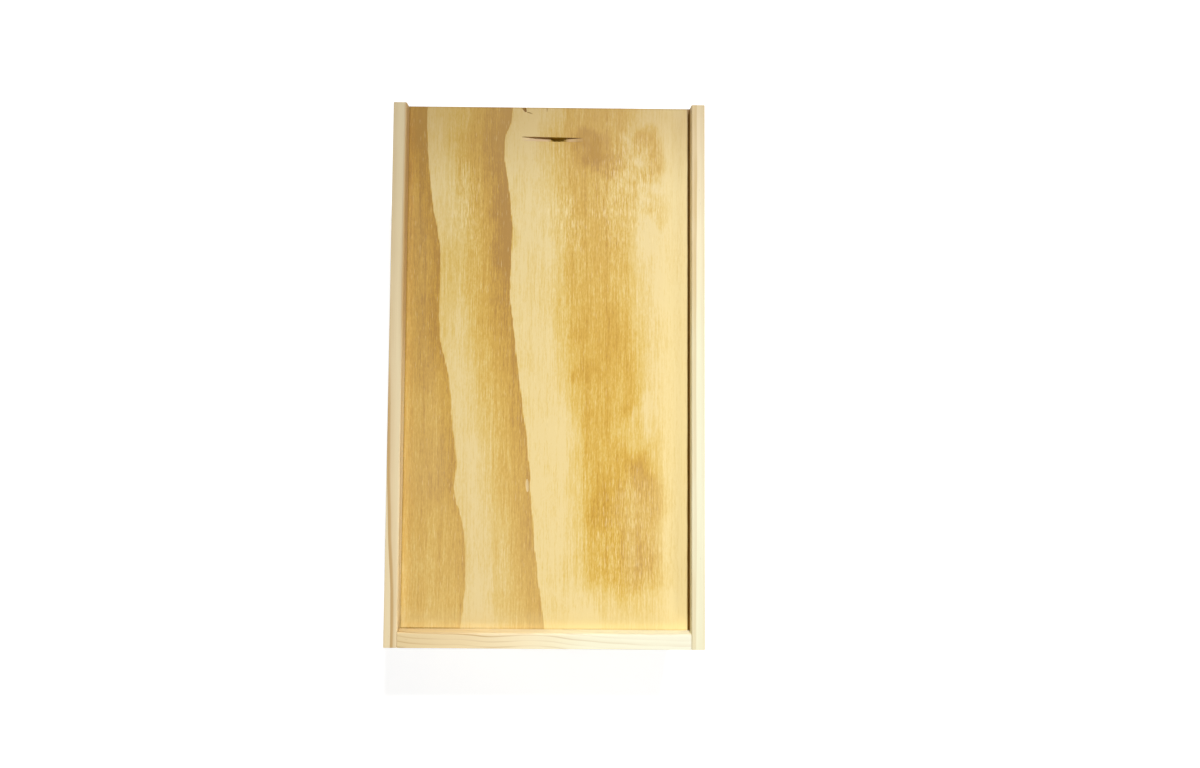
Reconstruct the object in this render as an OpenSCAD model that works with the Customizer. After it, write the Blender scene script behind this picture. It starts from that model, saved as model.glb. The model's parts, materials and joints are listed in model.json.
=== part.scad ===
// Wooden box for two bottles lying side by side, with a lid that slides in grooves.
// Millimetres. +Z is up, and +Y points to the open end, where the lid slides out.
// The origin lies under the middle of the case, in the plane it stands on.

/* [Case] */
// Outer width over both side walls
case_w = 200; // [185:1:260]
// Length of the side walls
case_l = 345; // [325:1:400]
// Height from the underside to the top edges of the walls
case_h = 100; // [95:1:140]
// Thickness of each side wall
side_t = 8.5; // [7:0.5:12]
// Thickness of each end wall
end_t = 9.5; // [7:0.5:12]
// Thickness of the base panel
base_t = 4; // [3:0.5:6]

/* [Sliding lid] */
// Thickness of the lid
lid_t = 4; // [3:0.5:6]
// Drop from the top edges of the walls to the face of the lid
lid_drop = 8; // [5:0.5:10]
// Length of lid that stands out past the side walls when shut
lid_proud = 1; // [0:0.5:3]
// Depth of the grooves that the lid runs in
groove_d = 4; // [3:0.5:5]
// Free height over the lid in its grooves
lid_free_z = 0.5; // [0.3:0.1:1]
// Free width between an edge of the lid and the bottom of its groove
lid_free_x = 0.5; // [0.3:0.1:1]

/* [Fingernail notch] */
// Distance from the open end of the lid to the notch
notch_in = 19.7; // [10:0.1:40]
// Width of the notch along the lid
notch_h = 3; // [2:0.1:5]
// Length across the lid of the shallow cut
shallow_cut_w = 40.5; // [30:0.5:60]
// Depth of the shallow cut at its middle
shallow_cut_d = 1.9; // [1:0.1:2.5]
// Sideways place of the middle of the shallow cut
shallow_cut_x = 2.1; // [-20:0.1:20]
// Length across the lid of the deep cut that lies inside the shallow one
deep_cut_w = 13.4; // [8:0.2:24]
// Thickness of lid left under the middle of the deep cut
deep_cut_left = 0.4; // [0.3:0.1:1]
// Sideways place of the middle of the deep cut
deep_cut_x = 5.8; // [-20:0.1:20]

/* [Bottle supports] */
// Diameter of the bottles that lie in the bays
bottle_d = 76; // [70:1:80]
// Diameter of the half-round cuts that the bottle necks lie in
neck_cut_d = 32; // [28:1:42]
// Distance from the inner face of the closed end wall to the neck rest
rest_in = 256; // [230:1:285]
// Thickness of the neck rest
rest_t = 4; // [3:0.5:8]
// Thickness of the centre divider
divider_t = 4; // [3:0.5:8]
// Gap between the top of the divider and the underside of the lid
divider_gap = 15; // [3:1:30]
// Depth of the housings cut in the walls for the divider and the neck rest
housing_d = 2.5; // [1.5:0.5:3]
// Free gap round a board in its housing
housing_gap = 0.1; // [0.05:0.05:0.3]

/* [Brads] */
// Diameter of a brad's shank
brad_d = 1.6; // [1.2:0.1:2]
// Diameter of a brad's head
brad_head_d = 2.8; // [2.4:0.1:3.4]
// Thickness of a brad's head
brad_head_t = 0.8; // [0.6:0.1:1.2]
// Length of the brads that hold the corners
corner_brad_l = 28; // [22:1:35]
// Length of the brads that hold the base panel
base_brad_l = 20; // [16:1:28]
// Brads in each corner
corner_brad_n = 3; // [2:1:5]
// Brads along each side of the base panel
side_brad_n = 5; // [2:1:8]
// Brads along each end of the base panel
end_brad_n = 2; // [2:1:4]
// Distance from the end of a joint to its first brad
brad_in = 12; // [8:1:18]
// Free gap round a brad in its hole
brad_gap = 0.03; // [0.02:0.01:0.1]

/* [Hidden] */
$fn = 64;

// How far a cut runs past the face that it opens
cut_over = 1;

// Half the clear width and half the clear length inside the walls
inner_x = case_w / 2 - side_t;
inner_y = case_l / 2 - end_t;

// The lid lies on the floor of its grooves
lid_face_z = case_h - lid_drop;
groove_floor_z = lid_face_z - lid_t;
groove_roof_z = lid_face_z + lid_free_z;
lid_x = inner_x + groove_d - lid_free_x;
lid_front_y = case_l / 2 + lid_proud;
lid_back_y = -(inner_y + groove_d - lid_free_x);

// The neck rest reaches up to the bottles' axes, and the divider crosses it with a half lap
rest_y0 = -inner_y + rest_in;
rest_y1 = rest_y0 + rest_t;
rest_top_z = base_t + bottle_d / 2;
lap_z = (base_t + rest_top_z) / 2;
rest_x = inner_x + housing_d - housing_gap;
divider_x = divider_t / 2;
divider_y = inner_y + housing_d - housing_gap;
divider_top_z = groove_floor_z - divider_gap;
bay_x = (inner_x + divider_x) / 2;

// Brads stand on the middle planes of the walls
side_mid_x = case_w / 2 - side_t / 2;
end_mid_y = case_l / 2 - end_t / 2;
brad_point_l = 1.5 * brad_d;
corner_brad_zs = between(base_t + brad_in, groove_floor_z - brad_in, corner_brad_n);
side_brad_ys = between(-inner_y + brad_in, inner_y - brad_in, side_brad_n);
end_brad_reach = case_w / 2 - corner_brad_l - brad_in;
end_brad_xs = between(-end_brad_reach, end_brad_reach, end_brad_n);

wall_colour = [0.92, 0.83, 0.67];
panel_colour = [0.87, 0.74, 0.52];
lid_colour = [0.90, 0.76, 0.47];
steel_colour = [0.62, 0.62, 0.64];

// Evenly spaced places from a to b, both included
function between(a, b, n) = [for (i = [0 : n - 1]) a + (b - a) * i / (n - 1)];

// Radius of the disc that makes a cut of that length at the face, and of that depth at its middle
function disc_r(w, depth) = (pow(w / 2, 2) + pow(depth, 2)) / (2 * depth);

// A block between two planes on each axis
module block(x0, x1, y0, y1, z0, z1) {
    translate([x0, y0, z0]) cube([x1 - x0, y1 - y0, z1 - z0]);
}

// A brad with its head's face at the origin, pointing along +Z
module brad(brad_l) {
    head_r = brad_head_d / 2;
    shank_r = brad_d / 2;
    rotate_extrude()
        polygon([
            [0, 0], [head_r, 0], [head_r, brad_head_t],
            [shank_r, brad_head_t], [shank_r, brad_l - brad_point_l], [0, brad_l],
        ]);
}

// The hole for that brad, with a recess that sets the head flush
module brad_hole(brad_l) {
    head_r = brad_head_d / 2 + brad_gap;
    shank_r = brad_d / 2 + brad_gap;
    rotate_extrude()
        polygon([
            [0, -cut_over], [head_r, -cut_over], [head_r, brad_head_t],
            [shank_r, brad_head_t], [shank_r, brad_l + brad_gap], [0, brad_l + brad_gap],
        ]);
}

// Places for the brads of the right side wall, driven in from outside
module at_wall_brads() {
    for (y = [-end_mid_y, end_mid_y], z = corner_brad_zs)
        translate([case_w / 2, y, z]) rotate([0, -90, 0]) children();
}

// Places for the brads under one side wall, driven up through the base panel
module at_side_brads(side) {
    for (y = side_brad_ys) translate([side * side_mid_x, y, 0]) children();
}

// Places for the brads under one end wall
module at_end_brads(end) {
    for (x = end_brad_xs) translate([x, end * end_mid_y, 0]) children();
}

module brad_holes() {
    for (side = [0, 1]) mirror([side, 0, 0]) at_wall_brads() brad_hole(corner_brad_l);
    for (side = [-1, 1]) at_side_brads(side) brad_hole(base_brad_l);
    for (end = [-1, 1]) at_end_brads(end) brad_hole(base_brad_l);
}

// The right side wall, with the lid's groove through its whole length
module side_wall() {
    block(inner_x, case_w / 2, -case_l / 2, case_l / 2, base_t, case_h);
}

module side_groove() {
    block(
        inner_x - cut_over, inner_x + groove_d,
        -case_l / 2 - cut_over, case_l / 2 + cut_over,
        groove_floor_z, groove_roof_z
    );
}

// Housing in the right side wall for the end of the neck rest, open at the base
module rest_housing() {
    block(
        inner_x - cut_over, inner_x + housing_d,
        rest_y0 - housing_gap, rest_y1 + housing_gap,
        base_t - cut_over, rest_top_z + housing_gap
    );
}

// Housing in the end wall at +Y for the end of the divider, open at the base
module divider_housing() {
    block(
        -divider_x - housing_gap, divider_x + housing_gap,
        inner_y - cut_over, inner_y + housing_d,
        base_t - cut_over, divider_top_z + housing_gap
    );
}

module right_side_wall() {
    color(wall_colour)
        difference() {
            side_wall();
            side_groove();
            rest_housing();
            at_wall_brads() brad_hole(corner_brad_l);
            at_side_brads(1) brad_hole(base_brad_l);
        }
}

module left_side_wall() {
    color(wall_colour) mirror([1, 0, 0]) right_side_wall();
}

// Full height, with a groove for the back edge of the lid
module closed_end_wall() {
    color(wall_colour)
        difference() {
            block(-inner_x, inner_x, -case_l / 2, -inner_y, base_t, case_h);
            block(
                -inner_x - cut_over, inner_x + cut_over,
                -inner_y - groove_d, -inner_y + cut_over,
                groove_floor_z, groove_roof_z
            );
            mirror([0, 1, 0]) divider_housing();
            brad_holes();
        }
}

// Lower than the other walls: the lid slides out over its top edge
module open_end_wall() {
    color(wall_colour)
        difference() {
            block(-inner_x, inner_x, inner_y, case_l / 2, base_t, groove_floor_z);
            divider_housing();
            brad_holes();
        }
}

module base_panel() {
    color(panel_colour)
        difference() {
            block(-case_w / 2, case_w / 2, -case_l / 2, case_l / 2, 0, base_t);
            brad_holes();
        }
}

// A shallow arc across the lid, as a disc cuts it from above
module notch_cut(x, w, depth) {
    r = disc_r(w, depth);
    translate([x, lid_front_y - notch_in, lid_face_z - depth + r])
        rotate([90, 0, 0])
            cylinder(r = r, h = notch_h, $fn = 256);
}

// Plain panel with a long shallow cut, and a short deep one in it for the fingertip
module sliding_lid() {
    color(lid_colour)
        difference() {
            block(-lid_x, lid_x, lid_back_y, lid_front_y, groove_floor_z, lid_face_z);
            notch_cut(shallow_cut_x, shallow_cut_w, shallow_cut_d);
            notch_cut(deep_cut_x, deep_cut_w, lid_t - deep_cut_left);
        }
}

// Stands in the end walls' housings and keeps the two bottles apart
module centre_divider() {
    color(panel_colour)
        difference() {
            block(-divider_x, divider_x, -divider_y, divider_y, base_t, divider_top_z);
            block(
                -divider_x - cut_over, divider_x + cut_over,
                rest_y0 - housing_gap, rest_y1 + housing_gap,
                base_t - cut_over, lap_z + housing_gap
            );
        }
}

// Cross board with a half-round cut for each bottle neck
module neck_rest() {
    color(panel_colour)
        difference() {
            block(-rest_x, rest_x, rest_y0, rest_y1, base_t, rest_top_z);
            for (side = [-1, 1])
                translate([side * bay_x, rest_y1 + cut_over, rest_top_z])
                    rotate([90, 0, 0])
                        cylinder(d = neck_cut_d, h = rest_t + 2 * cut_over);
            block(
                -divider_x - housing_gap, divider_x + housing_gap,
                rest_y0 - cut_over, rest_y1 + cut_over,
                lap_z, rest_top_z + cut_over
            );
        }
}

module right_wall_brads() {
    color(steel_colour) at_wall_brads() brad(corner_brad_l);
}

module left_wall_brads() {
    color(steel_colour) mirror([1, 0, 0]) at_wall_brads() brad(corner_brad_l);
}

module base_brads() {
    color(steel_colour) {
        for (side = [-1, 1]) at_side_brads(side) brad(base_brad_l);
        for (end = [-1, 1]) at_end_brads(end) brad(base_brad_l);
    }
}

left_side_wall();
right_side_wall();
closed_end_wall();
open_end_wall();
base_panel();
sliding_lid();
centre_divider();
neck_rest();
left_wall_brads();
right_wall_brads();
base_brads();
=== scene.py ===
import json
import math
from collections import namedtuple

import bmesh
import bpy
from mathutils import Euler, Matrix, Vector


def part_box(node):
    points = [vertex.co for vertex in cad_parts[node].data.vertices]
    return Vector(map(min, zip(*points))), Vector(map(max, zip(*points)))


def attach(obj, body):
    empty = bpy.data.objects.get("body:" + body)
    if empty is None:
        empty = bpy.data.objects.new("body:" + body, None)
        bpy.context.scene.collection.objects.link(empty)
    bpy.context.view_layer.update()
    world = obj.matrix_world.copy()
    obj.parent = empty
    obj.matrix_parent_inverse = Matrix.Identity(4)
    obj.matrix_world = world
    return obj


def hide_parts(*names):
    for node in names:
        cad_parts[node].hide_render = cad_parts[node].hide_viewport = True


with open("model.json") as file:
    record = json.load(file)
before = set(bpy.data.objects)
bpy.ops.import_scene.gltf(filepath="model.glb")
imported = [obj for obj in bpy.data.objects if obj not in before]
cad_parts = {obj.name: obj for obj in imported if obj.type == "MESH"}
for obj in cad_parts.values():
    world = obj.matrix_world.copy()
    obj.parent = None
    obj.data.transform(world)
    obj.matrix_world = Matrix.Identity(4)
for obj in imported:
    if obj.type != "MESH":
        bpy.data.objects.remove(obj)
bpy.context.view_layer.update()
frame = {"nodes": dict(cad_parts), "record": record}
nodes = frame["nodes"]
bodies = frame["record"]["behaviour"]["bodies"]

MM = 0.001
PER_M = 1000.0

# Height of the lid's face and its open end, and the inner faces of the side walls and of the closed end
# wall, in mm
LID_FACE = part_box("sliding_lid")[1].z * PER_M
LID_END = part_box("sliding_lid")[1].y * PER_M
WALL_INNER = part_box("right_side_wall")[0].x * PER_M
BACK_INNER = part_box("closed_end_wall")[1].y * PER_M

# The picture that the camera is worked out for, in pixels
PICTURE_W = 1200
PICTURE_H = 768
FOCAL_PX = 633.7
# The pixel that looks along the camera's axis
AXIS_PX = (561.0, 372.4)
SENSOR_W = 36.0
# The camera's place over the middle of the wall tops, in metres, and its turns about X, Y and Z, in degrees
CAMERA_PLACE = (0.0074, -0.0171, 0.400)
CAMERA_TURN = (2.369, -0.242, 0.482)

# A soft ellipse fades in between these shares of its half sizes
ELLIPSE_RIM = (1.15, 0.45)
BUMP_STRENGTH = 0.6
# Raw wood mirrors little
WOOD_SHINE = 0.30


class Graph:
    """Builds one material's nodes. Each method returns the socket that it makes."""

    def __init__(self, name):
        self.material = bpy.data.materials.new(name)
        self.material.use_nodes = True
        self.tree = self.material.node_tree
        self.shader = self.tree.nodes["Principled BSDF"]
        self.coords = self.tree.nodes.new("ShaderNodeTexCoord")

    def feed(self, socket, value):
        """Links a socket, or writes a number or a colour into the input."""
        if isinstance(value, bpy.types.NodeSocket):
            self.tree.links.new(value, socket)
        elif socket.type == "RGBA":
            socket.default_value = (*value, 1.0)
        else:
            socket.default_value = value

    def op(self, operation, *values, clamp=False):
        """The result of one math node."""
        node = self.tree.nodes.new("ShaderNodeMath")
        node.operation = operation
        node.use_clamp = clamp
        for socket, value in zip(node.inputs, values):
            self.feed(socket, value)
        return node.outputs[0]

    def add(self, a, b):
        return self.op("ADD", a, b)

    def sub(self, a, b):
        return self.op("SUBTRACT", a, b)

    def mul(self, a, b):
        return self.op("MULTIPLY", a, b)

    def total(self, *parts, base=0.0):
        """The base plus each part, given as (socket, strength)."""
        result = base
        for socket, strength in parts:
            result = self.add(result, self.mul(socket, strength))
        return result

    def step(self, value, low, high, to_low=0.0, to_high=1.0):
        """Rises smoothly from to_low at low to to_high at high."""
        node = self.tree.nodes.new("ShaderNodeMapRange")
        node.interpolation_type = "SMOOTHSTEP"
        for name, v in (("Value", value), ("From Min", low), ("From Max", high)):
            self.feed(node.inputs[name], v)
        self.feed(node.inputs["To Min"], to_low)
        self.feed(node.inputs["To Max"], to_high)
        return node.outputs[0]

    def mix(self, factor, a, b):
        """A number between a and b."""
        node = self.tree.nodes.new("ShaderNodeMix")
        node.data_type = "FLOAT"
        for name, v in (("Factor", factor), ("A", a), ("B", b)):
            self.feed(node.inputs[name], v)
        return node.outputs["Result"]

    def blend(self, factor, a, b):
        """A colour between a and b."""
        node = self.tree.nodes.new("ShaderNodeMix")
        node.data_type = "RGBA"
        self.feed(node.inputs["Factor"], factor)
        for socket, v in ((node.inputs[6], a), (node.inputs[7], b)):
            self.feed(socket, v)
        return node.outputs[2]

    def xyz(self, x=0.0, y=0.0, z=0.0):
        node = self.tree.nodes.new("ShaderNodeCombineXYZ")
        for socket, v in zip(node.inputs, (x, y, z)):
            self.feed(socket, v)
        return node.outputs[0]

    def place_mm(self):
        """Where the point lies in the part's frame, as three sockets in millimetres."""
        node = self.tree.nodes.new("ShaderNodeSeparateXYZ")
        self.feed(node.inputs[0], self.coords.outputs["Object"])
        return [self.mul(socket, PER_M) for socket in node.outputs]

    def facing(self):
        """How far the surface faces along each axis, from 0 to 1, as three sockets."""
        node = self.tree.nodes.new("ShaderNodeSeparateXYZ")
        self.feed(node.inputs[0], self.coords.outputs["Normal"])
        return [self.op("ABSOLUTE", socket) for socket in node.outputs]

    def noise(self, place, detail=2.0, roughness=0.5):
        """Noise around 0, from about -0.5 to 0.5."""
        node = self.tree.nodes.new("ShaderNodeTexNoise")
        self.feed(node.inputs["Vector"], place)
        node.inputs["Scale"].default_value = 1.0
        node.inputs["Detail"].default_value = detail
        node.inputs["Roughness"].default_value = roughness
        return self.sub(node.outputs[0], 0.5)

    def near(self, place, x, y, wide, long, turn):
        """1 in the middle of a soft ellipse on the XY plane, 0 outside it. turn is in degrees."""
        node = self.tree.nodes.new("ShaderNodeMapping")
        node.vector_type = "TEXTURE"
        self.feed(node.inputs["Vector"], place)
        node.inputs["Location"].default_value = (x, y, 0.0)
        node.inputs["Rotation"].default_value = (0.0, 0.0, math.radians(turn))
        node.inputs["Scale"].default_value = (wide, long, 1.0)
        away = self.tree.nodes.new("ShaderNodeVectorMath")
        away.operation = "LENGTH"
        self.feed(away.inputs[0], node.outputs[0])
        return self.step(away.outputs["Value"], *ELLIPSE_RIM)

    def random(self, value):
        """A fixed random number from 0 to 1 for each whole value."""
        node = self.tree.nodes.new("ShaderNodeTexWhiteNoise")
        node.noise_dimensions = "1D"
        self.feed(node.inputs["W"], value)
        return node.outputs[0]

    def curve(self, value, points, low, high):
        """A smooth curve through (value, result) points; results lie between low and high."""
        first, last = points[0][0], points[-1][0]
        node = self.tree.nodes.new("ShaderNodeFloatCurve")
        line = node.mapping.curves[0]
        while len(line.points) < len(points):
            line.points.new(0.5, 0.5)
        for point, (at, result) in zip(line.points, points):
            point.location = ((at - first) / (last - first), (result - low) / (high - low))
        node.mapping.update()
        share = self.op("DIVIDE", self.sub(value, first), last - first, clamp=True)
        self.feed(node.inputs["Value"], share)
        return self.add(self.mul(node.outputs[0], high - low), low)

    def ramp(self, value, stops):
        """A colour between (value, colour) stops; values lie between 0 and 1."""
        node = self.tree.nodes.new("ShaderNodeValToRGB")
        bar = node.color_ramp.elements
        while len(bar) < len(stops):
            bar.new(0.5)
        for element, (at, colour) in zip(bar, stops):
            element.position = at
            element.color = (*colour, 1.0)
        self.feed(node.inputs[0], value)
        return node.outputs[0]

    def finish(self, colour, roughness, height, height_mm):
        """Sends the colour, roughness and bump to the shader."""
        self.feed(self.shader.inputs["Base Color"], colour)
        self.feed(self.shader.inputs["Roughness"], roughness)
        if not self.shader.inputs["Metallic"].default_value:
            self.shader.inputs["Specular IOR Level"].default_value = WOOD_SHINE
        bump = self.tree.nodes.new("ShaderNodeBump")
        bump.inputs["Strength"].default_value = BUMP_STRENGTH
        bump.inputs["Distance"].default_value = height_mm * MM
        self.feed(bump.inputs["Height"], height)
        self.feed(self.shader.inputs["Normal"], bump.outputs[0])
        return self.material


# All colours are linear. Pine: early and late wood, the right wall's late wood, and sawn ends
PINE_PALE = (0.82, 0.70, 0.44)
PINE_LATE = (0.56, 0.37, 0.16)
PINE_TAN = (0.63, 0.44, 0.18)
PINE_END = (0.62, 0.46, 0.26)
# Veneer from its palest early wood to its darkest late wood, as (tone, colour)
VENEER = [
    (0.0, (0.81, 0.635, 0.29)), (0.14, (0.755, 0.55, 0.185)), (0.28, (0.705, 0.48, 0.112)),
    (0.42, (0.655, 0.405, 0.068)), (0.56, (0.605, 0.355, 0.046)), (0.75, (0.53, 0.290, 0.033)),
    (1.0, (0.41, 0.205, 0.022)),
]
# Marks in the grain: pale fibres that catch the light, and dark ticks
FLECK = (0.93, 0.76, 0.38)
TICK = (0.26, 0.14, 0.05)
# Broad changes of the lid's colour: milky and warm; and painted light, pale along its right and back edges
MILKY = (0.66, 0.51, 0.30)
WARM = (0.50, 0.26, 0.0)
PAINTED_LIGHT_PALE = (0.92, 0.74, 0.345)
# Wear, cuts and painted shade: worn edges, painted shade, fresh wood, dark pits, the notch's scoop and floors
# Worn edges, and painted shade darkening the lid's open end
STAIN_AND_SHADE = (0.48, 0.28, 0.055)
# Painted shade in the lid's corners by the walls, the right wall lip's painted shadow on the lid, painted
# shade on that lip's face, and a painted dark line along the lid's open edge
PAINTED_SHADE_BROWN = (0.24, 0.115, 0.005)
# Painted shade on the left wall's lip, strongest towards the far end
LIP_SHADE_BROWN = (0.54, 0.34, 0.13)
FRESH = (0.86, 0.72, 0.42)
# The dark floors of the chip and scars, and painted shade along the notch's far wall
DARK_FLOOR_AND_SHADE = (0.25, 0.115, 0.006)
# The notch's deep scoop: partly scorched wood, partly painted shade
SCOOP = (0.42, 0.26, 0.008)
CUT_FLOOR = (0.72, 0.50, 0.27)
# Between a plywood's face veneers
CORE_DARK = (0.42, 0.27, 0.13)
CORE_PALE = (0.70, 0.52, 0.28)
GLUE = (0.20, 0.12, 0.06)
# How deep the bump goes, in mm
PINE_BUMP = 0.22
VENEER_BUMP = 0.12
STEEL_BUMP = 0.05

# One layer of noise in wood. fine and long are its stretch across the grain and along it, per mm. shift and
# depth move it to a place of its own in the noise.
Layer = namedtuple("Layer", "fine long detail roughness shift depth", defaults=(2.0, 0.5, 0.0, 0.0))
PINE_FIBRE = Layer(1.5, 0.035, detail=3.0, roughness=0.6)
PINE_BROAD = Layer(0.03, 0.007, shift=9.0)
PINE_STREAK = Layer(0.40, 0.005, detail=3.0, roughness=0.6, shift=17.0)
PINE_CANALS = Layer(1.9, 0.16, detail=1.0, shift=13.0)
PINE_WEAR = Layer(0.05, 0.05, detail=3.0, shift=21.0)
RING_WOBBLE = Layer(0.03, 0.022, shift=5.0)
RING_DEEPER = Layer(0.01, 0.012, detail=1.0, shift=8.0)
RING_PATCHES = Layer(0.10, 0.025, detail=1.0, shift=25.0)
VENEER_BAND = Layer(0.22, 0.005)
VENEER_STREAK = Layer(0.80, 0.022, detail=3.0, roughness=0.65)
VENEER_SHORT = Layer(1.1, 0.14, detail=3.0, roughness=0.6, shift=3.0)
VENEER_FINE = Layer(2.6, 0.05)
VENEER_SPECK = Layer(1.3, 0.42, roughness=0.6, shift=31.0)
VENEER_DASH = Layer(2.4, 0.12, detail=1.0, shift=7.0)
VENEER_TICK = Layer(2.0, 0.22, detail=1.0, shift=19.0)
LID_FEATHER = Layer(1.5, 0.05, detail=3.0)
LID_WANDER = Layer(0.03, 0.07, depth=3.0)
LID_ROLL = Layer(0.05, 0.03, depth=5.0)
LID_ROLL_2 = Layer(0.05, 0.03, depth=11.0)
LID_RIPPLE = Layer(0.16, 0.12, depth=8.0)
PANEL_DRIFT = Layer(0.006, 0.004)
PANEL_FEATHER = Layer(1.1, 0.04, detail=3.0)
PANEL_ROLL = Layer(0.04, 0.02)
# The pores of sawn ends, per mm
PORE_SCALE = 3.2


def edge_mask(g, facing):
    """1 on the rounded edges, where the surface faces along no axis."""
    most = g.op("MAXIMUM", facing[0], g.op("MAXIMUM", facing[1], facing[2]))
    return g.step(most, 0.985, 0.90)


class PineBoard:
    """Where a point lies in a board whose grain runs along X or Y, and the board's own sizes, all in mm."""

    def __init__(self, g, node, grain, seed):
        self.g = g
        self.seed = seed
        along_axis = "XYZ".index(grain)
        across_axis = 1 - along_axis
        place = g.place_mm()
        self.along, self.across, self.z = place[along_axis], place[across_axis], place[2]
        self.facing = g.facing()
        self.end_face, self.side_face = self.facing[along_axis], self.facing[across_axis]
        low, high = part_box(node)
        self.outward = math.copysign(1.0, low[across_axis] + high[across_axis])
        self.inner = min(abs(low[across_axis]), abs(high[across_axis])) * PER_M
        self.top = high.z * PER_M
        self.middle = (low.z + high.z) / 2 * PER_M

    def noise(self, layer):
        """The layer's noise, drawn out along the board's grain."""
        g = self.g
        across = g.add(g.mul(self.across, layer.fine), self.seed + layer.shift)
        place = g.xyz(across, g.mul(self.z, layer.fine), g.mul(self.along, layer.long))
        return g.noise(place, layer.detail, layer.roughness)


# A board's growth rings. line gives where one ring crosses the top face, as (along, across) points in mm, and
# the others lie apart mm from each other. Each darkens outward, softly and then in a sharp line: soft and
# sharp are (along, strength) points. bow is by how many rings they bow with depth, waver how far they wander,
# as a share of apart, and uneven how much weaker some of them are.
Rings = namedtuple("Rings", "line apart soft sharp bow waver uneven", defaults=(3.4, 0.10, 0.3))
# Within a ring, from 0 to 1: where the soft part starts and is full, where the line does, and where both end
SOFT_PHASE = (0.20, 0.85)
LINE_PHASE = (0.68, 0.88)
RING_END = (1.0, 0.97)
# How much the rings wander for each mm below the top
DEEPER = 0.12


def level(value):
    """Points with one value all along a board."""
    return [(0, value), (1, value)]


def late_wood(board, rings):
    """How much late wood a point holds, from 0 to about 1."""
    g = board.g
    from_line = g.mul(g.sub(board.across, g.curve(board.along, rings.line, -250, 250)), board.outward)
    share = g.mul(g.sub(board.z, board.middle), 1 / (board.top - board.middle))
    bow = g.mul(g.sub(g.mul(share, share), 1.0), rings.bow)
    wobble = g.mul(board.noise(RING_WOBBLE), rings.waver * rings.apart)
    deeper = g.mul(board.noise(RING_DEEPER), g.mul(g.sub(board.top, board.z), DEEPER))
    count = g.add(bow, g.mul(g.add(from_line, g.add(wobble, deeper)), 1 / rings.apart))
    phase = g.op("FRACT", count)
    soft = g.mul(g.step(phase, *SOFT_PHASE), g.curve(board.along, rings.soft, 0, 1))
    sharp = g.mul(g.step(phase, *LINE_PHASE), g.curve(board.along, rings.sharp, 0, 1))
    weakest = 1.0 - rings.uneven
    own = g.mix(g.random(g.add(g.op("FLOOR", count), board.seed)), weakest, 1.0)
    patchy = g.step(board.noise(RING_PATCHES), -0.12, 0.08, weakest, 1.0)
    return g.mul(g.add(soft, sharp), g.mul(g.step(phase, *RING_END), g.mul(patchy, own)))


def ground_colour(board, ground):
    """The colour between the rings: the ground's stops on top and above the lid, plain pine elsewhere."""
    g = board.g
    first, last = ground[0][0], ground[-1][0]
    share = g.op("DIVIDE", g.sub(board.along, first), last - first, clamp=True)
    stops = g.ramp(share, [((at - first) / (last - first), colour) for at, colour in ground])
    on_top = g.step(board.facing[2], 0.25, 0.75)
    over_lid = g.step(board.z, LID_FACE - 1.0, LID_FACE)
    return g.blend(g.op("MAXIMUM", on_top, over_lid), PINE_PALE, stops)


# Painted shade on the upper lip of a side wall's groove. strength and reach are points along the wall; reach
# is in mm past the wall's inner face. The painted shade ends high mm over the lid, and upright is how much a
# face must look sideways to take half of it.
LipShade = namedtuple("LipShade", "strength reach high upright colour")


def paint_lip_shade(board, colour, lip_shade):
    """The colour with the painted shade on the lip."""
    g = board.g
    reach = g.add(g.curve(board.along, lip_shade.reach, 0, 5), board.inner)
    inside = g.step(g.op("ABSOLUTE", board.across), reach, board.inner + 0.1)
    over_lid = g.step(board.z, LID_FACE, LID_FACE + 1.0)
    upright = g.step(board.side_face, lip_shade.upright - 0.2, lip_shade.upright + 0.2)
    low_enough = g.step(board.z, LID_FACE + lip_shade.high, LID_FACE + lip_shade.high / 2)
    on_lip = g.mul(g.mul(inside, over_lid), g.mul(upright, low_enough))
    on_lip = g.mul(on_lip, g.step(board.along, BACK_INNER, BACK_INNER + 1.0))
    return g.blend(g.mul(on_lip, g.curve(board.along, lip_shade.strength, 0, 1)), colour, lip_shade.colour)


def solid_pine(name, node, grain, rings, ground, late_colour=PINE_LATE, plain=0.10, fibres=0.24,
               lip_shade=None, seed=0.0):
    """Flat-sawn pine for a board whose grain runs along X or Y. ground is the colour between the rings, as
    (along, colour) stops, and late_colour the rings' own. plain is how much of that lies all over, fibres how
    strong the fine fibres are, and seed sets the board's noise apart from the others'."""
    g = Graph(name)
    board = PineBoard(g, node, grain, seed)
    late = late_wood(board, rings)
    fibre, broad, streak = (board.noise(layer) for layer in (PINE_FIBRE, PINE_BROAD, PINE_STREAK))
    tone = g.total((fibre, fibres), (broad, 0.22), (streak, 0.16), base=g.add(late, plain))
    colour = g.blend(tone, ground_colour(board, ground), late_colour)
    canal = g.step(board.noise(PINE_CANALS), 0.235, 0.30)
    colour = g.blend(g.mul(canal, 0.25), colour, TICK)

    pores = g.noise(g.xyz(*[g.mul(axis, PORE_SCALE) for axis in (board.across, board.z, board.along)]))
    on_end = g.step(board.end_face, 0.6, 0.9)
    end_look = g.blend(g.mul(late, 0.9), PINE_END, PINE_LATE)
    end_look = g.blend(g.total((pores, 0.9), base=0.25), end_look, TICK)
    colour = g.blend(g.mul(on_end, 0.62), colour, end_look)

    worn = g.mul(edge_mask(g, board.facing), g.step(board.noise(PINE_WEAR), -0.12, 0.2))
    colour = g.blend(g.mul(worn, 0.20), colour, STAIN_AND_SHADE)
    if lip_shade:
        colour = paint_lip_shade(board, colour, lip_shade)
    roughness = g.total((fibre, 0.3), (late, -0.1), (on_end, 0.14), base=0.56)
    height = g.total((fibre, 0.5), (late, 0.35), (g.mul(on_end, pores), 1.2))
    return g.finish(colour, roughness, height, PINE_BUMP)


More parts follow.
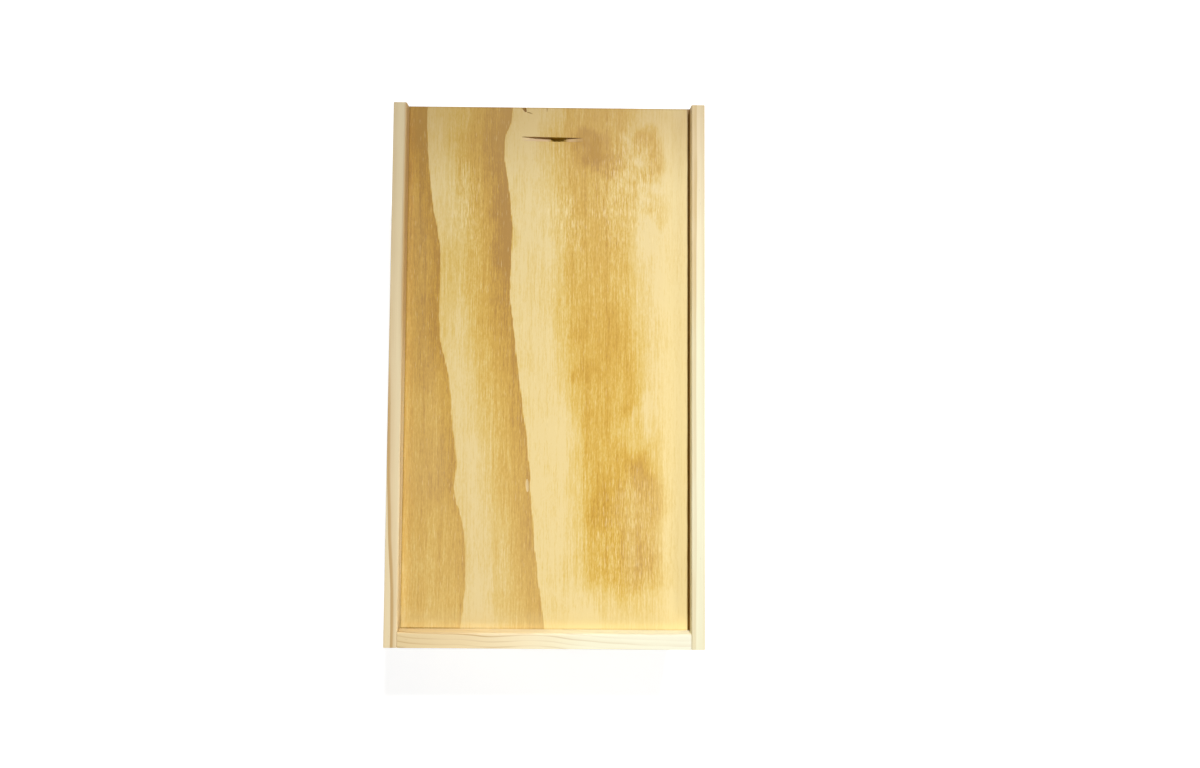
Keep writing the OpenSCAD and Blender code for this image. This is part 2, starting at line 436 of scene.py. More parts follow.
def left_pine():
    """One ring's sharp line runs along the near half of the top."""
    line = [(-174, -95.9), (-153, -95.9), (-134, -96.4), (-116, -97.5), (-105, -98.2), (-88, -98.8),
            (-69, -99.6), (-50, -99.9), (-26, -100.2), (20, -101.0), (60, -101.8), (174, -101.8)]
    sharp = [(-174, 0.80), (-60, 0.90), (0, 0.40), (30, 0.10), (174, 0.10)]
    ground = [(-174, (0.84, 0.70, 0.44)), (174, (0.81, 0.68, 0.425))]
    # Painted shade on the lip's inner face, none on the near half and strongest towards the far end
    lip_shade = LipShade(
        strength=[(-174, 0.0), (-40, 0.0), (0, 0.20), (20, 0.50), (50, 0.80), (174, 0.85)],
        reach=[(-174, 1.9), (0, 2.6), (45, 3.6), (75, 3.0), (110, 2.1), (174, 1.9)],
        high=20.0, upright=0.0, colour=LIP_SHADE_BROWN,
    )
    rings = Rings(line, 8.6, level(0.34), sharp)
    return solid_pine("left_wall_pine", "left_side_wall", "Y", rings, ground, lip_shade=lip_shade, seed=1.0)


def right_pine():
    """Its late wood and ground darken towards the far end: partly its wood, partly painted light and shade,
    pale where the near end is lit most and darker where the light falls off.
    """
    line = [(-174, 94.5), (-142, 94.6), (-117, 94.9), (-80, 94.9), (-17, 94.7), (57, 94.7), (110, 95.1),
            (174, 95.1)]
    soft = [(-174, 0.34), (-30, 0.36), (40, 0.54), (80, 0.68), (174, 0.66)]
    sharp = [(-174, 0.08), (174, 0.15)]
    ground = [(-174, (0.83, 0.80, 0.57)), (-60, (0.84, 0.83, 0.62)), (20, (0.85, 0.83, 0.60)),
              (90, (0.90, 0.81, 0.55)), (150, (0.83, 0.69, 0.44)), (174, (0.76, 0.62, 0.38))]
    # Painted shade on the lower part of the lip's inner face, all along the wall
    lip_shade = LipShade(strength=level(1.0), reach=level(0.6), high=5.0, upright=0.6, colour=PAINTED_SHADE_BROWN)
    return solid_pine("right_wall_pine", "right_side_wall", "Y", Rings(line, 8.6, soft, sharp), ground,
                      late_colour=PINE_TAN, lip_shade=lip_shade, seed=11.0)


def closed_end_pine():
    """Close rings cross the top, clear on the left and faint on the right, where the ground grows pale:
    partly its wood, partly painted light where the near right end is lit most.
    """
    line = [(-92, -165.2), (-79, -166.5), (-64, -167.0), (-49, -167.6), (-33, -168.8), (-12, -167.7),
            (5, -168.3), (20, -170.3), (31, -171.5), (59, -172.8), (92, -173.8)]
    sharp = [(-92, 0.80), (-20, 0.64), (20, 0.28), (60, 0.12), (92, 0.06)]
    ground = [(-92, (0.785, 0.615, 0.335)), (-50, (0.855, 0.685, 0.40)), (-15, (0.92, 0.79, 0.51)),
              (5, (0.92, 0.83, 0.57)), (25, (0.92, 0.88, 0.65)), (92, (0.87, 0.85, 0.67))]
    rings = Rings(line, 3.3, level(0.14), sharp, bow=4.2, waver=0.90, uneven=0.60)
    return solid_pine("closed_wall_pine", "closed_end_wall", "X", rings, ground, plain=0.05, fibres=0.10,
                      seed=21.0)


def open_end_pine():
    """Even pine; the shut lid covers its top."""
    line = [(-92, 166), (-30, 169), (40, 167), (92, 170)]
    rings = Rings(line, 6.0, level(0.25), [(-92, 0.35), (92, 0.30)], bow=3.8)
    return solid_pine("open_wall_pine", "open_end_wall", "X", rings, level(PINE_PALE), seed=31.0)


# A three-ply sheet: the core's share of its thickness, the core's cells across their grain and along it, per
# mm, and how far a glue line reaches into the core and out of it, in mm
CORE_SHARE = 0.52
CORE_FINE = 1.7
CORE_LONG = 0.12
GLUE_IN = 0.16
GLUE_OUT = 0.14


def sheet_layers(g, colour, place, through, low, high, core_along):
    """Shows the core ply and its glue lines between the two face veneers of a three-ply sheet."""
    half_core = (high - low) / 2 * CORE_SHARE
    off_middle = g.op("ABSOLUTE", g.sub(place["XYZ".index(through)], (low + high) / 2))
    stretch = [CORE_LONG if axis == core_along else CORE_FINE for axis in "XYZ"]
    cells = g.noise(g.xyz(*[g.mul(axis, s) for axis, s in zip(place, stretch)]), detail=3.0, roughness=0.65)
    core = g.ramp(g.total((cells, 1.5), base=0.5), [(0.0, CORE_DARK), (1.0, CORE_PALE)])
    colour = g.blend(g.step(off_middle, half_core + 0.04, half_core - 0.04), colour, core)
    inside = g.step(off_middle, half_core - GLUE_IN, half_core)
    outside = g.step(off_middle, half_core + GLUE_OUT, half_core)
    return g.blend(g.mul(g.mul(inside, outside), 0.65), colour, GLUE)


def veneer_noise(g, layer, x, y, seed=0.0):
    """The layer's noise over a veneer whose grain runs along y."""
    place = g.xyz(g.add(g.mul(x, layer.fine), seed + layer.shift), g.mul(y, layer.long), layer.depth)
    return g.noise(place, layer.detail, layer.roughness)


def veneer_look(g, tone, x, y, facing, flecks, seed=0.0):
    """Colour, roughness, height and grain of rotary-cut veneer; y runs along its grain, both in mm."""
    layers = (VENEER_BAND, VENEER_STREAK, VENEER_SHORT, VENEER_FINE, VENEER_SPECK, VENEER_DASH, VENEER_TICK)
    band, streak, short, fine, speck, dash, tick = (veneer_noise(g, layer, x, y, seed) for layer in layers)
    grain = g.total((band, 0.50), (streak, 0.75), (short, 0.80), (fine, 0.65), (speck, 0.55))
    grain = g.mul(grain, g.total((flecks, 0.30), base=1.0))
    tone = g.add(tone, g.mul(grain, g.step(tone, 0.0, 0.45, 0.45, 1.0)))
    colour = g.ramp(tone, VENEER)
    light = g.step(g.total((flecks, 0.09), base=dash), 0.15, 0.27)
    colour = g.blend(g.mul(light, 0.58), colour, FLECK)
    dark = g.step(tick, 0.20, 0.30)
    colour = g.blend(g.mul(dark, 0.20), colour, TICK)
    colour = g.blend(g.mul(edge_mask(g, facing), 0.22), colour, STAIN_AND_SHADE)
    roughness = g.total((fine, 0.3), (light, -0.10), base=0.50)
    height = g.total((fine, 0.6), (streak, 0.5), (dark, -0.5))
    return colour, roughness, height, grain


# Right ends of the lid's left and middle growth bands: (y, x) in mm, from the closed end to the open end
BAND_1 = [(-165, -54), (-145, -51.5), (-118, -51), (-95, -54), (-77, -58.5), (-60, -57.5), (-30, -61),
          (-6, -63), (20, -69), (85, -71), (111, -76), (140, -79), (175, -80)]
BAND_2 = [(-165, 0), (-120, -6), (-90, -9), (-50, -12), (-6, -18), (20, -21), (46, -24), (99, -24),
          (125, -27), (145, -29), (155, -28.3), (163, -25.2), (175, -24.2)]
# Where a band's end is sharp, in mm past it
BAND_SHARP = (-0.25, 0.35)
# Tone of the left band by mm past its end, of the middle one by share of its width, and of the right one by
# mm from its start
LEFT_TONE = [(-44, 0.42), (-30, 0.50), (-18, 0.58), (-8, 0.62), (-3, 0.70), (0, 0.78)]
MIDDLE_TONE = [(0, 0.06), (0.3, 0.10), (0.45, 0.28), (0.62, 0.42), (0.75, 0.60), (1, 0.88)]
RIGHT_TONE = [(0, 0.02), (19, 0.03), (27, 0.14), (33, 0.25), (40, 0.40), (52, 0.45), (71, 0.42), (80, 0.20),
              (90, 0.07), (125, 0.02)]
# Darker and paler clouds: middle x and y, half width, half length, turn in degrees, change of tone
CLOUDS = [
    (27, 148, 15, 15, 0, 0.45), (38, 134, 17, 12, 20, 0.20), (48, 90, 20, 34, 0, -0.05),
    (38, 34, 26, 16, 0, 0.06), (67, 145, 10, 17, 0, 0.38), (70, 104, 9, 18, 0, 0.16),
    (24, 0, 12, 12, 0, 0.14), (56, -36, 16, 20, -35, -0.18), (64, -72, 15, 26, 20, 0.27),
    (37, -82, 13, 20, 0, 0.12), (44, -108, 10, 17, 0, 0.06), (69, -116, 10, 17, 0, 0.10),
    (12, -44, 14, 28, 10, -0.10), (52, -162, 38, 30, 0, -0.28), (-76, 20, 14, 42, 0, 0.13),
    (-31, 92, 8, 30, 0, 0.20), (-66, -56, 9, 32, 0, 0.12), (-87, 165, 8, 14, 0, 0.16),
    (-31, -150, 8, 12, 0, 0.08), (-76, -95, 22, 75, 0, 0.10), (-60, 62, 15, 28, 0, 0.12),
    (27, 138, 9, 12, 0, 0.18), (57, 138, 20, 14, 0, 0.08),
]
# How far the clouds' outlines wander across the grain and along it, in mm
CLOUD_WANDER = (26.0, 46.0)
# Patches where short pale fibres catch the light, and the one where the grain ripples
BRIGHT = [(-55, 115, 13, 32, 0), (10, 100, 14, 30, 0), (52, 118, 26, 44, 0), (54, -105, 28, 52, 0)]
RIPPLED = (52, 132, 26, 40, 0)
# Patches of another colour: ellipse, colour, strength
TINTS = [((64, -98, 20, 52, 0), MILKY, 0.16), ((30, 146, 15, 14, 0), WARM, 0.45)]

# Where a sliver of the lid's face veneer has lifted off: x, y, half width, half length, turn
SLIVER = (-12.0, -72.8, 1.15, 4.6, 3.0)
# The patch round it where fresh wood shows, and how strongly
FRESH_PATCH = (*SLIVER[:2], 2.2, 8.0, SLIVER[4])
FRESH_STRENGTH = 0.50
# The fingernail notch as an ellipse, and the colours on the floors of the lid's cuts and nicks, some of them
# painted shade: ellipse, colour, strength
NOTCH = (2.1, 152.4, 46.0, 5.0, 0)
CUT_FLOOR_COLOURS = [
    ((2.1, 152.4, 21.0, 5.0, 0), CUT_FLOOR, 0.80), ((2.1, 153.9, 30.0, 0.85, 0), DARK_FLOOR_AND_SHADE, 0.80),
    ((5.8, 152.4, 7.2, 4.0, 0), SCOOP, 0.85), ((-16.3, 171.6, 2.6, 3.4, 0), DARK_FLOOR_AND_SHADE, 0.90),
    ((-13.0, 169.8, 3.0, 1.2, -14), DARK_FLOOR_AND_SHADE, 0.60), ((-1.6, 171.8, 1.0, 2.4, 0), DARK_FLOOR_AND_SHADE, 0.50),
]


def lid_bands(g, x, y, feather):
    """Tone of the lid's three bands, the mm past the left one's end, and 1 inside the right one."""
    sway = g.total((feather, 2.6), (veneer_noise(g, LID_WANDER, x, y), 1.8))
    edge_1, edge_2 = (g.curve(y, band, -100, 100) for band in (BAND_1, BAND_2))
    past_1, past_2 = (g.add(g.sub(x, edge), sway) for edge in (edge_1, edge_2))
    share = g.op("DIVIDE", past_1, g.sub(edge_2, edge_1))
    # From about -1 at the closed end to 1 at the open end
    toward_end = g.mul(y, 1 / 150)
    left = g.total((toward_end, 0.22), base=g.curve(past_1, LEFT_TONE, 0, 1))
    middle = g.total((g.mul(toward_end, share), 0.20), base=g.curve(share, MIDDLE_TONE, 0, 1))
    right = g.curve(past_2, RIGHT_TONE, 0, 1)
    in_middle, in_right = (g.step(past, *BAND_SHARP) for past in (past_1, past_2))
    return g.mix(in_right, g.mix(in_middle, left, middle), right), past_1, in_right


def lid_clouds(g, x, y, tone, in_right):
    """The tone with its clouds, how bright the fibres are, the roll, and the place that the clouds use."""
    roll, roll_2 = (veneer_noise(g, layer, x, y) for layer in (LID_ROLL, LID_ROLL_2))
    spread = g.xyz(*[g.total((by, mm), base=at) for at, by, mm in zip((x, y), (roll, roll_2), CLOUD_WANDER)])
    tone = g.add(tone, g.mul(g.add(roll, roll_2), g.mix(in_right, 0.16, 0.24)))
    for *ellipse, change in CLOUDS:
        tone = g.total((g.near(spread, *ellipse), change), base=tone)
    flecks = 0.0
    for patch in BRIGHT:
        flecks = g.op("MAXIMUM", g.near(spread, *patch), flecks)
    ripple = veneer_noise(g, LID_RIPPLE, g.total((y, 0.3), base=x), y)
    tone = g.add(tone, g.mul(ripple, g.mul(g.near(spread, *RIPPLED), 0.5)))
    return tone, flecks, roll, spread


def lid_corner_shade(g, x, y, feather):
    """How dark the painted shade lies on the lid's face in the corners where it enters the grooves; beside
    the right wall it is the painted shadow of that wall's lip.
    """
    left, right = -WALL_INNER, WALL_INNER
    rough_x, rough_y = (g.total((feather, 0.8), base=at) for at in (x, y))
    at_left = g.mul(g.step(rough_x, left + 0.9, left + 0.2), 0.45)
    at_right = g.mul(g.step(rough_x, right - 1.6, right - 0.7), 0.96)
    at_back = g.mul(g.step(rough_y, BACK_INNER + 0.75, BACK_INNER + 0.35), g.step(x, -45, -75, 0.15, 0.60))
    return g.op("MAXIMUM", at_left, g.op("MAXIMUM", at_right, at_back))


def lid_cuts(g, colour, place):
    """Colours the lid's sides, where its plies show, and the floors of its notch and nicks."""
    x, y, z = place
    low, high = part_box("sliding_lid")
    flat_place = g.xyz(x, y)
    below = g.step(z, LID_FACE - 0.02, LID_FACE - 0.10)
    fresh = g.mul(g.near(flat_place, *FRESH_PATCH), below)
    colour = g.blend(g.mul(fresh, FRESH_STRENGTH), colour, FRESH)
    layered = sheet_layers(g, colour, place, "Z", low.z * PER_M, high.z * PER_M, "X")
    colour = g.blend(g.mul(g.near(flat_place, *NOTCH), below), layered, colour)
    for ellipse, floor_colour, strength in CUT_FLOOR_COLOURS:
        colour = g.blend(g.mul(g.mul(g.near(flat_place, *ellipse), below), strength), colour, floor_colour)
    return colour


def lid_veneer():
    """The lid's rotary-cut face: bands that darken to the right and end at a sharp, wandering edge."""
    g = Graph("lid_veneer")
    place = g.place_mm()
    x, y, _ = place
    feather = veneer_noise(g, LID_FEATHER, x, y)
    tone, past_1, in_right = lid_bands(g, x, y, feather)
    tone, flecks, roll, spread = lid_clouds(g, x, y, tone, in_right)
    colour, roughness, height, grain = veneer_look(g, tone, x, y, g.facing(), flecks)

    # Milkier towards the closed end, and down the left band between its ends
    toward_back = g.step(y, 60, -150, 0.07, 0.24)
    colour = g.blend(g.mul(toward_back, g.mix(in_right, 1.0, 0.15)), colour, MILKY)
    between_ends = g.step(g.op("ABSOLUTE", g.sub(y, 20.0)), 125.0, 85.0)
    on_left = g.mul(g.step(past_1, -2.0, -12.0), between_ends)
    colour = g.blend(g.mul(on_left, 0.09), colour, MILKY)
    for ellipse, tint, strength in TINTS:
        colour = g.blend(g.mul(g.near(spread, *ellipse), strength), colour, tint)

    # Painted light: paler along the right edge, between the fibres, where the side lamp's shade falls, and
    # along the back edge, as light thrown back by the closed end wall
    between_fibres = g.total((grain, -0.75), base=1.0)
    colour = g.blend(g.mul(g.step(x, 66, 88, 0.0, 0.72), between_fibres), colour, PAINTED_LIGHT_PALE)
    painted_light_by_back = g.mul(g.step(y, BACK_INNER + 15.0, BACK_INNER + 2.0), g.mix(in_right, 0.28, 0.60))
    colour = g.blend(painted_light_by_back, colour, PAINTED_LIGHT_PALE)

    # Painted shade darkening the open end, a painted dark line along its edge, and painted shade in the
    # grooves' corners
    open_end_shade = g.total((roll, 0.10), base=g.step(y, 112, 178, 0.0, 0.42))
    colour = g.blend(g.mul(open_end_shade, g.step(y, 105, 120)), colour, STAIN_AND_SHADE)
    colour = g.blend(g.mul(g.step(y, LID_END - 1.2, LID_END - 0.3), 0.35), colour, PAINTED_SHADE_BROWN)
    colour = g.blend(lid_corner_shade(g, x, y, feather), colour, PAINTED_SHADE_BROWN)
    return g.finish(lid_cuts(g, colour, place), roughness, height, VENEER_BUMP)


# A plain panel's bands: their width and how far they drift, in mm
PANEL_BAND = 62.0
PANEL_WANDER = 120.0


def panel_veneer(name, node, across, along, through, seed):
    """Plain three-ply sheet. across, along and through name the axes over its face and through it."""
    g = Graph(name)
    place = g.place_mm()
    x, y = place["XYZ".index(across)], place["XYZ".index(along)]
    layers = (PANEL_DRIFT, PANEL_FEATHER, PANEL_ROLL)
    drift, feather, roll = (veneer_noise(g, layer, x, y, seed) for layer in layers)
    bands = g.op("DIVIDE", g.total((drift, PANEL_WANDER), (feather, 2.2), base=x), PANEL_BAND)
    phase = g.op("FRACT", g.add(bands, seed))
    tone = g.mul(g.step(phase, 0.15, 1.0), g.step(phase, 1.0, 0.985))
    tone = g.total((tone, 0.62), (roll, 0.5), base=0.10)
    colour, roughness, height, _ = veneer_look(g, tone, x, y, g.facing(), g.add(roll, 0.3), seed)
    colour = g.blend(0.15, colour, MILKY)
    low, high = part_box(node)
    axis = "XYZ".index(through)
    colour = sheet_layers(g, colour, place, through, low[axis] * PER_M, high[axis] * PER_M, across)
    return g.finish(colour, roughness, height, VENEER_BUMP)


def brad_steel():
    """Bright drawn wire with fine scratches."""
    g = Graph("brad_steel")
    scratch = g.noise(g.xyz(*[g.mul(axis, 4.0) for axis in g.place_mm()]), detail=4.0)
    colour = g.ramp(g.add(scratch, 0.5), [(0.2, (0.34, 0.34, 0.35)), (0.8, (0.62, 0.62, 0.63))])
    g.shader.inputs["Metallic"].default_value = 1.0
    return g.finish(colour, g.total((scratch, 0.4), base=0.38), scratch, STEEL_BUMP)


# Radii in mm: of all long edges as sanding leaves them, and of the walls' top inner edges as use does
EDGE_MM = {
    "left_side_wall": 0.3, "right_side_wall": 0.3, "closed_end_wall": 0.25, "open_end_wall": 0.4,
    "base_panel": 0.4, "sliding_lid": 0.35, "centre_divider": 0.3, "neck_rest": 0.3,
}
LIP_MM = {"left_side_wall": 1.1, "right_side_wall": 0.8, "closed_end_wall": 1.1}
# Points closer than this are one point, edges shorter than the second stay sharp, and edges longer than the
# third run along a whole board
WELD_MM = 0.002
SHORTEST_MM = 1.0
BOARD_LONG_MM = 100
# Turns in degrees: less than the first is one face, more than the second is an edge to round, more than the
# third is shaded sharp, and more than the last ends a rounded lip
FLAT_TURN = 0.5
EDGE_TURN = 30
SHADE_TURN = 35
ARC_TURN = 60


def ease_lip(bm, radius_mm):
    """Rounds a wall's top inner edge. Returns the two short arcs where the rounding ends."""
    top = max(vertex.co.z for vertex in bm.verts)
    along_top = [
        edge for edge in bm.edges
        if min(vertex.co.z for vertex in edge.verts) > top - 0.01 * MM
        and edge.calc_length() > BOARD_LONG_MM * MM
    ]
    inner = min(along_top, key=lambda edge: (edge.verts[0].co + edge.verts[1].co).xy.length)
    made = bmesh.ops.bevel(
        bm, geom=[inner], offset=radius_mm * MM, offset_type="OFFSET", segments=5, profile=0.5,
        affect="EDGES", clamp_overlap=True,
    )
    return [edge for edge in made["edges"] if edge.calc_face_angle(0.0) > math.radians(ARC_TURN)]


def worn_board(node, material, cutters=()):
    """Stands for a CAD board with the same faces, and with its long edges rounded as sanding leaves them."""
    mesh = nodes[node].data.copy()
    bm = bmesh.new()
    bm.from_mesh(mesh)
    bmesh.ops.remove_doubles(bm, verts=bm.verts, dist=WELD_MM * MM)
    bmesh.ops.dissolve_limit(bm, angle_limit=math.radians(FLAT_TURN), verts=bm.verts, edges=bm.edges)
    arcs = set(ease_lip(bm, LIP_MM[node])) if node in LIP_MM else set()
    sharp = [
        edge for edge in bm.edges
        if len(edge.link_faces) == 2 and (edge in arcs or edge.calc_length() > SHORTEST_MM * MM)
        and edge.calc_face_angle(0.0) > math.radians(EDGE_TURN)
    ]
    bmesh.ops.bevel(
        bm, geom=sharp, offset=EDGE_MM[node] * MM, offset_type="OFFSET", segments=3, profile=0.5,
        affect="EDGES", clamp_overlap=True,
    )
    mesh.clear_geometry()
    bm.to_mesh(mesh)
    bm.free()
    mesh.materials.clear()
    mesh.materials.append(material)
    piece = bpy.data.objects.new(node + "_board", mesh)
    bpy.context.scene.collection.objects.link(piece)
    for cutter in cutters:
        cut_away(piece, cutter)
    for polygon in piece.data.polygons:
        polygon.use_smooth = True
    piece.data.set_sharp_from_angle(angle=math.radians(SHADE_TURN))
    flat = piece.modifiers.new("flat_faces", "WEIGHTED_NORMAL")
    flat.keep_sharp = True
    body = next(name for name, members in bodies.items() if node in members)
    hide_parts(node)
    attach(piece, body)


def cut_away(piece, cutter_mesh):
    """Takes the cutter's shape out of the piece's mesh for good."""
    cutter = bpy.data.objects.new("cutter", cutter_mesh)
    bpy.context.scene.collection.objects.link(cutter)
    cut = piece.modifiers.new("cut", "BOOLEAN")
    cut.object = cutter
    cut.operation = "DIFFERENCE"
    cut.solver = "EXACT"
    view = bpy.context.evaluated_depsgraph_get()
    done = bpy.data.meshes.new_from_object(piece.evaluated_get(view))
    piece.modifiers.remove(cut)
    bm = bmesh.new()
    bm.from_mesh(done)
    bmesh.ops.remove_doubles(bm, verts=bm.verts, dist=WELD_MM * MM)
    bmesh.ops.dissolve_degenerate(bm, edges=bm.edges, dist=WELD_MM * MM)
    bm.to_mesh(done)
    bm.free()
    piece.data = done
    bpy.data.objects.remove(cutter)


# How far an egg's widest ring lies above the face that it is cut into, so that no corner falls in that face
EGG_LIFT = 0.05


def egg(x, y, z, half_x, half_y, depth, turn):
    """A closed egg shape, in mm, that reaches depth below z; turned about Z by turn degrees."""
    mesh = bpy.data.meshes.new("egg")
    bm = bmesh.new()
    bmesh.ops.create_icosphere(bm, subdivisions=2, radius=1.0)
    angle = math.radians(turn)
    for vertex in bm.verts:
        u, v = vertex.co.x * half_x, vertex.co.y * half_y
        vertex.co = Vector((
            x + u * math.cos(angle) - v * math.sin(angle),
            y + u * math.sin(angle) + v * math.cos(angle),
            z + EGG_LIFT + vertex.co.z * (depth + EGG_LIFT),
        )) * MM
    bm.to_mesh(mesh)
    bm.free()
    return mesh


def wedge(outline, z_top, z_low):
    """A closed block, in mm, over an outline whose points each have their own share of the depth."""
    mesh = bpy.data.meshes.new("wedge")
    n = len(outline)
    top = [(x * MM, y * MM, z_top * MM) for x, y, _ in outline]
    low = [(x * MM, y * MM, (z_top + (z_low - z_top) * share) * MM) for x, y, share in outline]
    sides = [(i, (i + 1) % n, n + (i + 1) % n, n + i) for i in range(n)]
    mesh.from_pydata(top + low, [], [tuple(range(n))[::-1], tuple(range(n, 2 * n))] + sides)
    bm = bmesh.new()
    bm.from_mesh(mesh)
    bmesh.ops.triangulate(bm, faces=bm.faces)
    bmesh.ops.recalc_face_normals(bm, faces=bm.faces)
    bm.to_mesh(mesh)
    bm.free()
    return mesh


# The chip at the lid's open end: x, mm past that end, and share of the depth; and its depth in mm
CHIP = [(-17.9, 1, 0.3), (-15.4, 1, 0.3), (-15.1, -1.5, 0.9), (-14.8, -2.9, 1), (-16.1, -3.2, 0.9),
        (-17.1, -1.9, 1), (-17.8, -0.9, 0.6)]
CHIP_DEPTH = 1.1
# The scars beside it: x, mm past the end, half width, half length, depth, turn
SCARS = [(-13.0, -3.7, 0.32, 2.2, 0.40, 76.0), (-1.6, -1.6, 0.32, 1.3, 0.55, 4.0)]
SLIVER_DEPTH = 0.30


def lid_nicks():
    """The chip and scars that a used lid has by its open end, and the lost sliver of veneer."""
    z = LID_FACE
    chip = wedge([(x, LID_END + past, share) for x, past, share in CHIP], z + 0.5, z - CHIP_DEPTH)
    scars = [egg(x, LID_END + past, z, *rest) for x, past, *rest in SCARS]
    x, y, half_x, half_y, turn = SLIVER
    return [chip, *scars, egg(x, y, z, half_x, half_y, SLIVER_DEPTH, turn)]


def add_camera():
    """Looks nearly straight down on the lid, from over its middle."""
    wall_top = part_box("closed_end_wall")[1].z
    data = bpy.data.cameras.new("camera")
    data.sensor_width = SENSOR_W
    data.lens = FOCAL_PX * SENSOR_W / PICTURE_W
    data.shift_x = (PICTURE_W / 2 - AXIS_PX[0]) / PICTURE_W
    data.shift_y = (AXIS_PX[1] - PICTURE_H / 2) / PICTURE_W
    data.clip_start = 0.01
    camera = bpy.data.objects.new("camera", data)
    camera.location = Vector(CAMERA_PLACE) + Vector((0, 0, wall_top))
    camera.rotation_euler = Euler([math.radians(a) for a in CAMERA_TURN], "XYZ")
    bpy.context.scene.collection.objects.link(camera)
    bpy.context.scene.camera = camera


def seen_directly(tree):
    """1 for rays that are seen straight, mirrored or through glass; 0 for those that light the object."""
    path = tree.nodes.new("ShaderNodeLightPath")
    seen = path.outputs["Is Camera Ray"]
    for kind in ("Is Glossy Ray", "Is Transmission Ray"):
        either = tree.nodes.new("ShaderNodeMath")
        either.operation = "MAXIMUM"
        tree.links.new(seen, either.inputs[0])
        tree.links.new(path.outputs[kind], either.inputs[1])
        seen = either.outputs[0]
    return seen


# The floor's half width in metres, its colour, its glow by the box, and how far it lies under the box, in mm
FLOOR_HALF = 1.0
FLOOR_WHITE = 0.80
FLOOR_GLOW = 0.68
FLOOR_DROP = 0.1
# Between these distances from the box, in metres, the glow rises until the floor meets the white world
GLOW_RISES = (0.30, 0.85)
# How strongly the white world lights the object
WORLD_LIGHT = 0.06


def add_floor():
    """A white floor. Its glow is seen but lights nothing, and its shaded part stays a little grey."""
    mesh = bpy.data.meshes.new("floor")
    corners = [(-1, -1), (1, -1), (1, 1), (-1, 1)]
    mesh.from_pydata([(x * FLOOR_HALF, y * FLOOR_HALF, 0.0) for x, y in corners], [], [(0, 1, 2, 3)])
    floor = bpy.data.objects.new("floor", mesh)
    bpy.context.scene.collection.objects.link(floor)
    floor.location.z = -FLOOR_DROP * MM
    material = bpy.data.materials.new("floor_white")
    material.use_nodes = True
    tree = material.node_tree
    tree.nodes.clear()
    out = tree.nodes.new("ShaderNodeOutputMaterial")
    diffuse = tree.nodes.new("ShaderNodeBsdfDiffuse")
    diffuse.inputs["Color"].default_value = (FLOOR_WHITE, FLOOR_WHITE, FLOOR_WHITE, 1)
    glow = tree.nodes.new("ShaderNodeEmission")
    away = tree.nodes.new("ShaderNodeVectorMath")
    away.operation = "LENGTH"
    tree.links.new(tree.nodes.new("ShaderNodeTexCoord").outputs["Object"], away.inputs[0])
    rise = tree.nodes.new("ShaderNodeMapRange")
    rise.interpolation_type = "SMOOTHSTEP"
    for name, value in zip(("From Min", "From Max", "To Min"), (*GLOW_RISES, FLOOR_GLOW)):
        rise.inputs[name].default_value = value
    tree.links.new(away.outputs["Value"], rise.inputs["Value"])
    strength = tree.nodes.new("ShaderNodeMath")
    strength.operation = "MULTIPLY"
    tree.links.new(rise.outputs["Result"], strength.inputs[1])
    tree.links.new(seen_directly(tree), strength.inputs[0])
    tree.links.new(strength.outputs[0], glow.inputs["Strength"])
    both = tree.nodes.new("ShaderNodeAddShader")
    tree.links.new(diffuse.outputs[0], both.inputs[0])
    tree.links.new(glow.outputs[0], both.inputs[1])
    tree.links.new(both.outputs[0], out.inputs[0])
    mesh.materials.append(material)


def add_world():
    """A world that is seen as white and lights the object a little."""
    world = bpy.data.worlds.new("world")
    bpy.context.scene.world = world
    world.use_nodes = True
    tree = world.node_tree
    strength = tree.nodes.new("ShaderNodeMix")
    strength.data_type = "FLOAT"
    strength.inputs["A"].default_value = WORLD_LIGHT
    strength.inputs["B"].default_value = 1.0
    tree.links.new(seen_directly(tree), strength.inputs["Factor"])
    back = tree.nodes["Background"]
    back.inputs["Color"].default_value = (1, 1, 1, 1)
    tree.links.new(strength.outputs["Result"], back.inputs["Strength"])


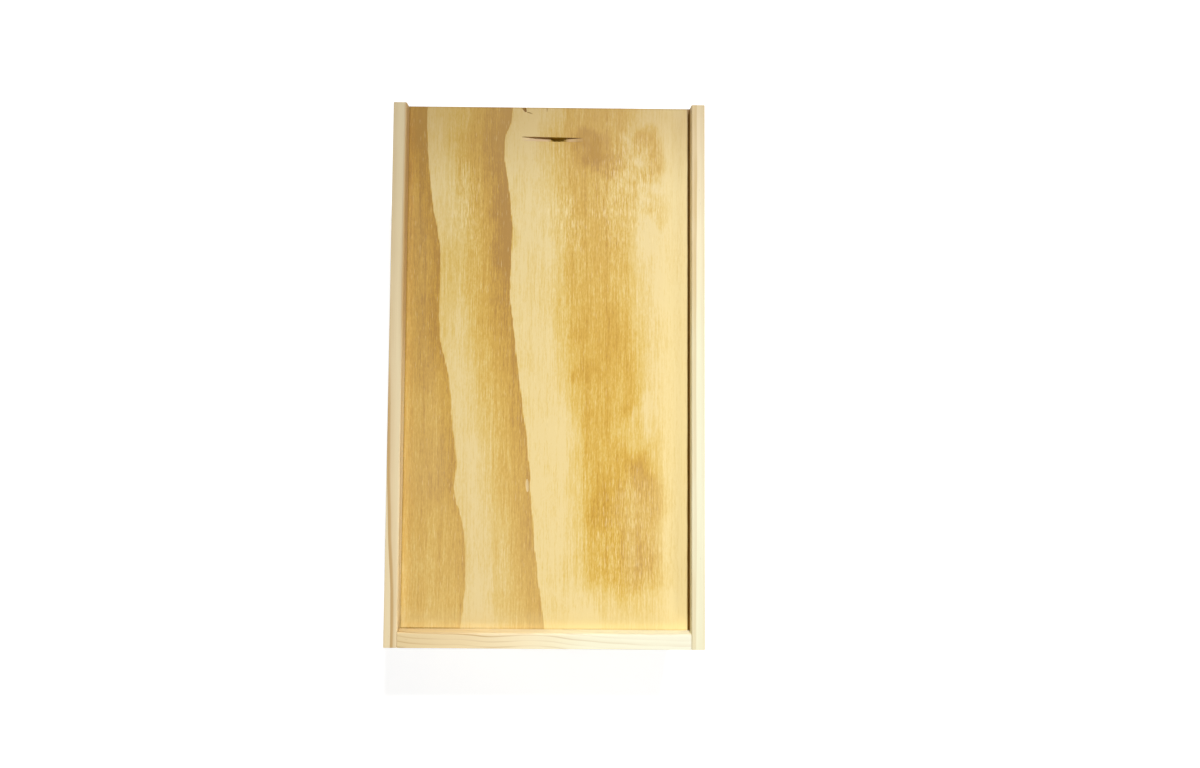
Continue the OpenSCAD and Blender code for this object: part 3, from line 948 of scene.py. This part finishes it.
def add_lamp(name, lamp, watts, place, target):
    lamp.energy = watts
    item = bpy.data.objects.new(name, lamp)
    bpy.context.scene.collection.objects.link(item)
    item.location = place
    item.rotation_mode = "QUATERNION"
    item.rotation_quaternion = (Vector(target) - item.location).to_track_quat("-Z", "Y")


def add_disc(name, width, watts, place, target):
    lamp = bpy.data.lights.new(name, "AREA")
    lamp.shape = "DISK"
    lamp.size = width
    add_lamp(name, lamp, watts, place, target)


def add_spot(name, radius, cone, watts, place, target):
    """A spot whose light fades evenly from the middle of its cone, given in degrees, to the rim."""
    lamp = bpy.data.lights.new(name, "SPOT")
    lamp.shadow_soft_size = radius
    lamp.spot_size = math.radians(cone)
    lamp.spot_blend = 1.0
    add_lamp(name, lamp, watts, place, target)


# The main light, a disc and a spot in one place, stands high beyond the right far corner. It throws the right
# wall's thin shadow on the lid and lights the near end most. The other two come in low and light the outer
# faces.
KEY_PLACE = (0.19, 0.62, 1.10)
LID_MIDDLE = (0, 0, 0.1)
PAST_NEAR_END = (0.2, -0.60, 0.1)

add_camera()
add_floor()
add_world()
add_disc("key_wide", width=0.10, watts=7.1, place=KEY_PLACE, target=LID_MIDDLE)
add_spot("key_near", radius=0.05, cone=64, watts=41.5, place=KEY_PLACE, target=PAST_NEAR_END)
add_disc("side", width=0.50, watts=6.0, place=(0.80, -0.80, 0.60), target=(0, -0.10, 0.1))
add_disc("low_left", width=0.40, watts=1.2, place=(-0.80, 0.10, 0.55), target=(0, 0, 0.1))
bpy.context.scene.view_settings.view_transform = "Standard"

worn_board("left_side_wall", left_pine())
worn_board("right_side_wall", right_pine())
worn_board("closed_end_wall", closed_end_pine())
worn_board("open_end_wall", open_end_pine())
worn_board("base_panel", panel_veneer("base_veneer", "base_panel", "X", "Y", "Z", seed=2.0))
worn_board("sliding_lid", lid_veneer(), cutters=lid_nicks())
worn_board("centre_divider", panel_veneer("divider_veneer", "centre_divider", "Z", "Y", "X", seed=3.3))
worn_board("neck_rest", panel_veneer("rest_veneer", "neck_rest", "Z", "X", "Y", seed=4.7))
steel = brad_steel()
for name in ("left_wall_brads", "right_wall_brads", "base_brads"):
    nodes[name].data.materials.clear()
    nodes[name].data.materials.append(steel)
